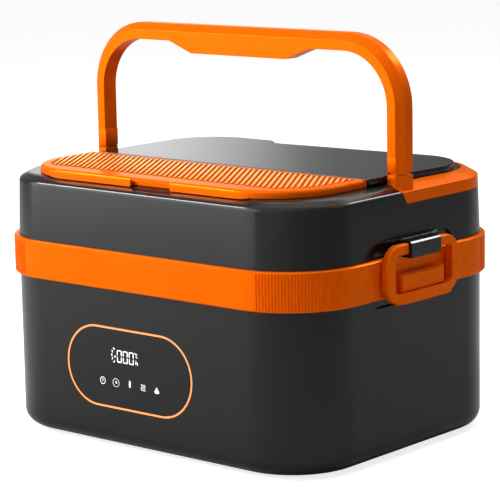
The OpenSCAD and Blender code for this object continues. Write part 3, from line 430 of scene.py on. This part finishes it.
def finishMaterial(name, given):
    values = {**plainFinish, **given}
    material = bpy.data.materials.new(name)
    material.use_nodes = True
    tree = material.node_tree
    shader = tree.nodes["Principled BSDF"]
    grain = tree.nodes.new("ShaderNodeGroup")
    grain.node_tree = grainGroup
    grain.inputs["Color"].default_value = (*values["color"], 1)
    for label, key in (("Color Spread", "colorSpread"), ("Roughness", "roughness"),
                       ("Roughness Spread", "roughnessSpread"), ("Grain Scale", "grainScale"),
                       ("Grain Stretch", "grainStretch"), ("Cloud Scale", "cloudScale")):
        grain.inputs[label].default_value = values[key]
    color, rough = grain.outputs["Color"], grain.outputs["Roughness"]
    if "wear" in values:
        wear = tree.nodes.new("ShaderNodeGroup")
        wear.node_tree = wearGroup
        wear.inputs["Amount"].default_value = values["wear"]
        wear.inputs["Width"].default_value = values["wearWidth"]
        color = blendColor(tree, wear.outputs["Mask"], color, values["wearColor"])
        rough = addMath(tree, "MULTIPLY_ADD", wear.outputs["Mask"], values["wearPolish"], rough)
    if "dust" in values:
        dust = tree.nodes.new("ShaderNodeGroup")
        dust.node_tree = dustGroup
        dust.inputs["Amount"].default_value = values["dust"]
        color = blendColor(tree, dust.outputs["Mask"], color, values["dustColor"])
        rough = addMath(tree, "MULTIPLY_ADD", dust.outputs["Mask"], values["dustRoughness"], rough)
    # painted shade in the rib grooves and a painted highlight on the rib tops
    if "ribs" in values:
        color = paintRibLightAndShade(tree, color, values["ribs"])
    bump = tree.nodes.new("ShaderNodeBump")
    bump.inputs["Strength"].default_value = values["bump"]
    bump.inputs["Distance"].default_value = values["bumpDepth"]
    tree.links.new(color, shader.inputs["Base Color"])
    tree.links.new(rough, shader.inputs["Roughness"])
    tree.links.new(grain.outputs["Height"], bump.inputs["Height"])
    tree.links.new(bump.outputs["Normal"], shader.inputs["Normal"])
    shader.inputs["Metallic"].default_value = values["metallic"]
    shader.inputs["IOR"].default_value = values["ior"]
    shader.inputs["Specular IOR Level"].default_value = values["specular"]
    shader.inputs["Specular Tint"].default_value = (*values["specularTint"], 1)
    shader.inputs["Transmission Weight"].default_value = values["clear"]
    shader.inputs["Sheen Weight"].default_value = values["sheen"]
    shader.inputs["Sheen Roughness"].default_value = values["sheenRoughness"]
    shader.inputs["Sheen Tint"].default_value = (*values["sheenTint"], 1)
    if "glow" in values:
        shader.inputs["Emission Color"].default_value = (*values["glow"], 1)
        shader.inputs["Emission Strength"].default_value = values["glowStrength"]
    return material


finishes = {
    "shell": {"color": (0.0085, 0.0087, 0.0081), "roughness": 0.2, "specular": 0.28, "bump": 0.05,
              "wear": 0.3, "wearColor": (0.045, 0.045, 0.043), "dust": 0.01},
    "orange": {"color": (0.85, 0.118, 0.0004), "roughness": 0.28, "specular": 0.03, "metallic": 0.28,
               "sheen": 0.2, "sheenTint": (1.0, 0.6, 0.08), "specularTint": (1.0, 0.72, 0.25), "bump": 0.03,
               "wear": 0.25, "wearColor": (1.0, 0.22, 0.01), "dust": 0.004},
    "gloss_black": {"color": (0.006, 0.006, 0.006), "roughness": 0.09, "specular": 0.3, "bump": 0.008,
                    "wear": 0.3, "wearColor": (0.03, 0.03, 0.03), "dust": 0.005},
    "glow": {"color": (0.9, 0.25, 0.03), "roughness": 0.4, "glow": (1.0, 0.3, 0.12), "glowStrength": 0.75},
    "inner_plastic": {"color": (0.03, 0.03, 0.03), "roughness": 0.5, "dust": 0.03},
    "steel": {"color": (0.62, 0.63, 0.64), "roughness": 0.26, "metallic": 1.0, "grainScale": 500,
              "grainStretch": (1, 1, 14), "bump": 0.12, "roughnessSpread": 0.14},
    "cast_alloy": {"color": (0.5, 0.5, 0.5), "roughness": 0.5, "metallic": 1.0,
                   "grainScale": 1200, "bump": 0.3},
    "board": {"color": (0.01, 0.07, 0.03), "roughness": 0.45, "colorSpread": 0.3},
    "ceramic": {"color": (0.7, 0.64, 0.55), "roughness": 0.6, "bump": 0.3},
    "rubber": {"color": (0.015, 0.015, 0.015), "roughness": 0.75, "bump": 0.4, "dust": 0.05},
    "silicone": {"color": (0.62, 0.62, 0.6), "roughness": 0.55, "dust": 0.04},
    "clear_plastic": {"color": (0.7, 0.72, 0.75), "roughness": 0.3, "clear": 0.6},
}
materials = {name: finishMaterial(name + "Finish", values) for name, values in finishes.items()}
# Painted light on the cover's ribs: "top" is the painted highlight colour of the rib tops, the groove colour
# is painted shade.
ribPaintedLightValues = {
    "top": (1.0, 0.62, 0.2),
    "paintedGrooveShade": (0.16, 0.02, 0.0002),
    "depth": 0.9,  # share of the groove colour at the foot of a rib
    "blend": 0.5,
    "falloff": 2.0,
}
# The cover's orange, with painted shade and a painted highlight on its ribs.
ribbedPaintedLightFinish = finishMaterial("ribbedPaintedLightFinish", {**finishes["orange"], "ribs": ribPaintedLightValues})
for nodeName, node in nodes.items():
    for index in range(len(node.material_slots)):
        node.material_slots[index].material = materials[slotOf[nodeName]]
print("finishes set")


def useOnly(piece):
    if bpy.context.object is not None and bpy.context.object.mode != "OBJECT":
        bpy.ops.object.mode_set(mode="OBJECT")
    bpy.ops.object.select_all(action="DESELECT")
    piece.select_set(True)
    bpy.context.view_layer.objects.active = piece


def settle(piece, name, body, material, slotName, *replaced):
    # Puts the place into the mesh, then hands the piece to its body.
    useOnly(piece)
    piece.name = name
    bpy.ops.object.transform_apply(location=True, rotation=True, scale=True)
    piece.data.materials.clear()
    piece.data.materials.append(material)
    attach(piece, body)
    if replaced:
        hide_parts(*replaced)
    return piece


def roundEdges(piece, width, segments, angle):
    useOnly(piece)
    bevel = piece.modifiers.new("edgeRound", "BEVEL")
    bevel.width = width
    bevel.segments = segments
    bevel.limit_method = "ANGLE"
    bevel.angle_limit = math.radians(angle)
    bevel.miter_outer = "MITER_ARC"
    bpy.ops.object.modifier_apply(modifier="edgeRound")
    bpy.ops.object.shade_smooth_by_angle(angle=math.radians(angle))
    normals = piece.modifiers.new("flatFaces", "WEIGHTED_NORMAL")
    normals.keep_sharp = True
    bpy.ops.object.modifier_apply(modifier="flatFaces")


# Moulded pieces keep the CAD shape and get rounded edges on a merged copy.
edgeValues = {"merge": 0.002 * mm, "flat": 0.4, "sharp": 32, "segments": 2}  # angles in degrees
mouldedValues = {
    "base_shell": {"piece": "baseShell", "width": 0.45 * mm},
    "waist_band": {"piece": "waistBand", "width": 0.3 * mm},
    "lid_shell": {"piece": "lidShell", "width": 0.4 * mm},
    "lid_frame": {"piece": "lidFrame", "width": 0.5 * mm},
    "lid_plate": {
        "piece": "lidPlate", "width": 0.5 * mm,
        # The right front corner's pull-in; "start" is a share of the plate's depth.
        "pullIn": {"amount": 4.6 * mm, "from": 80 * mm, "start": 0.35},
    },
    "latch_clips": {"piece": "latchClips", "width": 0.35 * mm},
    "latch_ring_right": {"piece": "latchRingRight", "width": 0.7 * mm},
    "latch_ring_left": {"piece": "latchRingLeft", "width": 0.7 * mm},
    "handle": {"piece": "carryHandle", "width": 0.45 * mm},
    "cutlery_cover": {"piece": "cutleryCover", "width": 0.3 * mm, "dissolve": False,
                      "finish": ribbedPaintedLightFinish},
    "power_inlet": {"piece": "powerInlet", "width": 0.3 * mm},
}


def pullCorner(piece, values):
    # The plate's right edge runs inwards to the cover's end, more and more towards the front.
    low, high = (Vector(corner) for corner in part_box("lid_plate"))
    for vertex in piece.data.vertices:
        ahead = (high.y - vertex.co.y) / (high.y - low.y)
        if vertex.co.x > values["from"]:
            vertex.co.x -= values["amount"] * max(ahead - values["start"], 0) / (1 - values["start"])


def makeMoulded(nodeName, values):
    piece = bpy.data.objects.new(values["piece"], nodes[nodeName].data.copy())
    bpy.context.scene.collection.objects.link(piece)
    useOnly(piece)
    bpy.ops.object.mode_set(mode="EDIT")
    bpy.ops.mesh.select_all(action="SELECT")
    bpy.ops.mesh.remove_doubles(threshold=edgeValues["merge"])
    if values.get("dissolve", True):
        bpy.ops.mesh.dissolve_limited(angle_limit=math.radians(edgeValues["flat"]))
    bpy.ops.object.mode_set(mode="OBJECT")
    if "pullIn" in values:
        pullCorner(piece, values["pullIn"])
    roundEdges(piece, values["width"], edgeValues["segments"], edgeValues["sharp"])
    finish = values.get("finish", materials[slotOf[nodeName]])
    return settle(piece, values["piece"], bodyOf[nodeName], finish, slotOf[nodeName], nodeName)


# The cover's flat-topped ribs, along slanted lines that end at the field's border. Millimetres.
ribValues = {
    "pitch": 3.8,
    "angle": 123,  # degrees of the ribs' run from the width
    "middle": -54.6,
    "field": {"wide": 202.0, "deep": 162.8, "corner": 36.0, "front": -75.8, "back": -27.4},
    "top": 157.2,
    "rise": 0.4,
    "sunk": 0.4,  # added to the bars' height, half of it below the cover's top
    "width": 1.5,
    "round": 0.2,
    "count": 50,  # lines tried on each side of the middle
    "reach": 240,  # steps tried along a line each way
    "step": 0.25,
    "shortest": 8,  # steps that a bar must have
}


def insideField(x, y, field):
    dx = abs(x) - (field["wide"] / 2 - field["corner"])
    dy = abs(y) - (field["deep"] / 2 - field["corner"])
    if not field["front"] < y < field["back"]:
        return False
    return math.hypot(max(dx, 0), max(dy, 0)) < field["corner"]


def makeRibs(values):
    run = Vector((math.cos(math.radians(values["angle"])), math.sin(math.radians(values["angle"])), 0))
    ribs = []
    for step in range(-values["count"], values["count"] + 1):
        start = Vector((step * values["pitch"] + values["pitch"] / 2, values["middle"], 0))
        along = [k * values["step"] for k in range(-values["reach"], values["reach"] + 1)]
        kept = [k for k in along if insideField(*(start + run * k).xy, values["field"])]
        if len(kept) < values["shortest"]:
            continue
        low, high = kept[0] + values["width"] / 2, kept[-1] - values["width"] / 2
        centre = start + run * (low + high) / 2
        bpy.ops.object.select_all(action="DESELECT")
        middle = values["top"] + (values["rise"] - values["sunk"]) / 2
        bpy.ops.mesh.primitive_cube_add(
            size=1, location=(centre.x * mm, centre.y * mm, middle * mm),
            rotation=(0, 0, math.radians(values["angle"])),
            scale=(max(high - low, 1) * mm, values["width"] * mm,
                   (values["rise"] + values["sunk"]) * mm),
        )
        rib = bpy.context.object
        bpy.ops.object.transform_apply(location=True, rotation=True, scale=True)
        bpy.ops.object.mode_set(mode="EDIT")
        bpy.ops.mesh.select_all(action="SELECT")
        bpy.ops.mesh.bevel(offset=values["round"] * mm, segments=2, affect="EDGES")
        bpy.ops.object.mode_set(mode="OBJECT")
        ribs.append(rib)
    return ribs


# Plates on the handle's legs that hide the posts' cheeks. Millimetres.
legPlateRound = 0.1
legPlateValues = {
    "frontRight": {"low": (108.3, -6.15, 159.6), "high": (113.7, -5.65, 168.5)},
    "frontLeft": {"low": (-113.7, -6.68, 158.6), "high": (-108.2, -6.3, 168.5)},
    "innerRight": {"low": (107.75, -6.1, 158.3), "high": (108.12, 4.05, 168.5)},
    "innerLeft": {"low": (-108.12, -6.68, 158.3), "high": (-107.75, 4.05, 168.5)},
}


def makeLegPlate(values):
    low, high = Vector(values["low"]) * mm, Vector(values["high"]) * mm
    bpy.ops.object.select_all(action="DESELECT")
    bpy.ops.mesh.primitive_cube_add(size=1, location=(low + high) / 2, scale=high - low)
    plate = bpy.context.object
    bpy.ops.object.transform_apply(location=True, rotation=True, scale=True)
    bpy.ops.object.mode_set(mode="EDIT")
    bpy.ops.mesh.select_all(action="SELECT")
    bpy.ops.mesh.bevel(offset=legPlateRound * mm, segments=2, affect="EDGES")
    bpy.ops.object.mode_set(mode="OBJECT")
    return plate


def joinTo(piece, extras):
    for extra in extras:
        useOnly(extra)
        bpy.ops.object.shade_smooth_by_angle(angle=math.radians(40))
    bpy.ops.object.select_all(action="DESELECT")
    for extra in extras:
        extra.data.materials.clear()
        extra.data.materials.append(piece.data.materials[0])
        extra.select_set(True)
    piece.select_set(True)
    bpy.context.view_layer.objects.active = piece
    bpy.ops.object.join()


made = {}
for nodeName, values in mouldedValues.items():
    made[nodeName] = makeMoulded(nodeName, values)
joinTo(made["cutlery_cover"], makeRibs(ribValues))
joinTo(made["handle"], [makeLegPlate(values) for values in legPlateValues.values()])
print("moulded pieces rounded")

# The display's lit marks: thin raised pads on the panel's face. Millimetres on the front.
symbolValues = {
    "thick": 0.12,
    "segment": 0.62,  # width of a digit's bars
    "digit": {"width": 3.7, "height": 7.2, "centres": (-15.9, -11.25, -6.6), "middle": 55.0},
    "arc": {"centre": (-16.9, 55.3), "radius": 4.9, "turns": (130, 155, 180, 205, 230), "size": (0.75, 1.5)},
    "dot": (-19.2, 54.6, 1.1),
    "unit": -2.7,  # where the degree and hour marks stand
    "icons": {"power": (-29.5, 39.3), "clock": (-19.1, 39.3), "drop": (-8.3, 39.3),
              "heat": (2.0, 39.3), "pot": (12.5, 39.3)},
    "finish": {"color": (0.85, 0.85, 0.85), "roughness": 0.4, "glow": (1.0, 1.0, 1.0), "glowStrength": 0.9},
}


def addPad(x, z, width, height, turn=0.0, sides=6):
    # A bar with pointed ends, or with more sides a disc, standing on the panel.
    thick = symbolValues["thick"] * mm
    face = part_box("display_panel")[0][1]
    bpy.ops.object.select_all(action="DESELECT")
    bpy.ops.mesh.primitive_cylinder_add(
        vertices=sides, radius=width * mm / 2, depth=thick, location=(x * mm, face, z * mm),
        rotation=(math.pi / 2, 0, 0),
    )
    pad = bpy.context.object
    bpy.ops.object.transform_apply(location=True, rotation=True)
    mesh = pad.data
    bpy.ops.object.mode_set(mode="EDIT")
    for side in (-1, 1):
        bpy.ops.mesh.select_all(action="DESELECT")
        bpy.ops.object.mode_set(mode="OBJECT")
        for vertex in mesh.vertices:
            vertex.select = (vertex.co.z - z * mm) * side > 1e-6
        bpy.ops.object.mode_set(mode="EDIT")
        bpy.ops.transform.translate(value=(0, 0, side * (height - width) * mm / 2))
    bpy.ops.mesh.select_all(action="SELECT")
    bpy.ops.transform.rotate(
        value=math.radians(turn), orient_axis="Y", orient_type="GLOBAL",
        center_override=(x * mm, face, z * mm),
    )
    bpy.ops.object.mode_set(mode="OBJECT")
    return pad


def addLoop(x, z, width, line, sides, turn=0.0):
    # A ring of a given number of sides: a low drum whose two inset faces are bridged through.
    pad = addPad(x, z, width, width, turn, sides)
    bpy.ops.object.mode_set(mode="EDIT")
    bpy.ops.mesh.select_mode(type="FACE")
    bpy.ops.mesh.select_all(action="DESELECT")
    bpy.ops.object.mode_set(mode="OBJECT")
    for face in pad.data.polygons:
        face.select = abs(face.normal.y) > 0.9
    bpy.ops.object.mode_set(mode="EDIT")
    bpy.ops.mesh.inset(thickness=line * mm, use_individual=True)
    bpy.ops.mesh.bridge_edge_loops()
    bpy.ops.mesh.select_mode(type="VERT")
    bpy.ops.object.mode_set(mode="OBJECT")
    return pad


def makeDigit(centre, values, bar):
    wide, high = values["width"], values["height"]
    pads = []
    for side in (-1, 1):
        for half in (-1, 1):
            pads.append(addPad(centre + side * (wide - bar) / 2, values["middle"] + half * high / 4,
                               bar, high / 2 - 0.7))
    for end in (-1, 1):
        pads.append(addPad(centre, values["middle"] + end * (high - bar) / 2, bar, wide - 0.5, 90))
    return pads


def makeIcons(places):
    pads = []
    x, z = places["power"]
    pads.append(addLoop(x, z, 4.4, 0.28, 8, 22.5))
    pads.append(addPad(x, z + 0.3, 0.4, 1.7, 0))
    x, z = places["clock"]
    pads.append(addLoop(x, z, 5.0, 0.2, 28))
    pads.append(addPad(x, z + 0.5, 0.45, 1.5, 0))
    pads.append(addPad(x + 0.4, z - 0.1, 0.45, 1.2, 90))
    x, z = places["drop"]
    drop = addPad(x, z - 0.5, 4.3, 4.3, 0, 24)
    useOnly(drop)
    for vertex in drop.data.vertices:
        vertex.select = vertex.co.z > (z + 1.3) * mm
    bpy.ops.object.mode_set(mode="EDIT")
    bpy.ops.transform.resize(value=(0.3, 1, 1))
    bpy.ops.transform.translate(value=(0, 0, 1.1 * mm))
    bpy.ops.object.mode_set(mode="OBJECT")
    pads.append(drop)
    x, z = places["heat"]
    for shift in (-1.2, 0, 1.2):
        for step, lean in ((1.3, 40), (0, -40), (-1.3, 40)):
            pads.append(addPad(x + shift, z + step, 0.32, 1.5, lean))
    x, z = places["pot"]
    pads.append(addPad(x, z - 0.9, 1.9, 3.4, 90, 16))
    pads.append(addPad(x - 0.1, z + 0.7, 0.35, 2.2, 90))
    pads.append(addPad(x - 0.1, z + 1.3, 0.4, 0.8, 0))
    return pads


def makeSymbols(values):
    pads = []
    for centre in values["digit"]["centres"]:
        pads += makeDigit(centre, values["digit"], values["segment"])
    arc = values["arc"]
    for turn in arc["turns"]:
        angle = math.radians(turn)
        pads.append(addPad(arc["centre"][0] + arc["radius"] * math.cos(angle),
                           arc["centre"][1] + arc["radius"] * math.sin(angle), *arc["size"], -turn))
    x, z, size = values["dot"]
    pads.append(addPad(x, z, size, size, 0, 12))
    x = values["unit"]
    pads.append(addLoop(x - 0.9, 58.2, 0.9, 0.2, 10))  # degree mark
    pads.append(addPad(x + 0.3, 57.9, 0.35, 1.2, 60))
    pads.append(addPad(x - 0.1, 56.9, 0.35, 1.5, 0))
    pads.append(addPad(x + 0.5, 56.0, 0.35, 1.2, 100))
    pads.append(addPad(x - 0.4, 53.0, 0.4, 2.6))  # hour mark
    pads.append(addPad(x + 0.3, 53.1, 0.4, 1.2, 80))
    pads.append(addPad(x + 0.8, 52.3, 0.4, 1.5, 0))
    pads += makeIcons(values["icons"])
    bpy.ops.object.select_all(action="DESELECT")
    for pad in pads:
        pad.select_set(True)
    bpy.context.view_layer.objects.active = pads[0]
    bpy.ops.object.join()
    symbols = bpy.context.object
    material = finishMaterial("symbolGlow", values["finish"])
    bpy.ops.object.mode_set(mode="EDIT")
    bpy.ops.mesh.select_all(action="SELECT")
    bpy.ops.mesh.normals_make_consistent(inside=False)
    bpy.ops.object.mode_set(mode="OBJECT")
    settle(symbols, "displaySymbols", "base", material, "glow")


makeSymbols(symbolValues)
print("display marks lit")
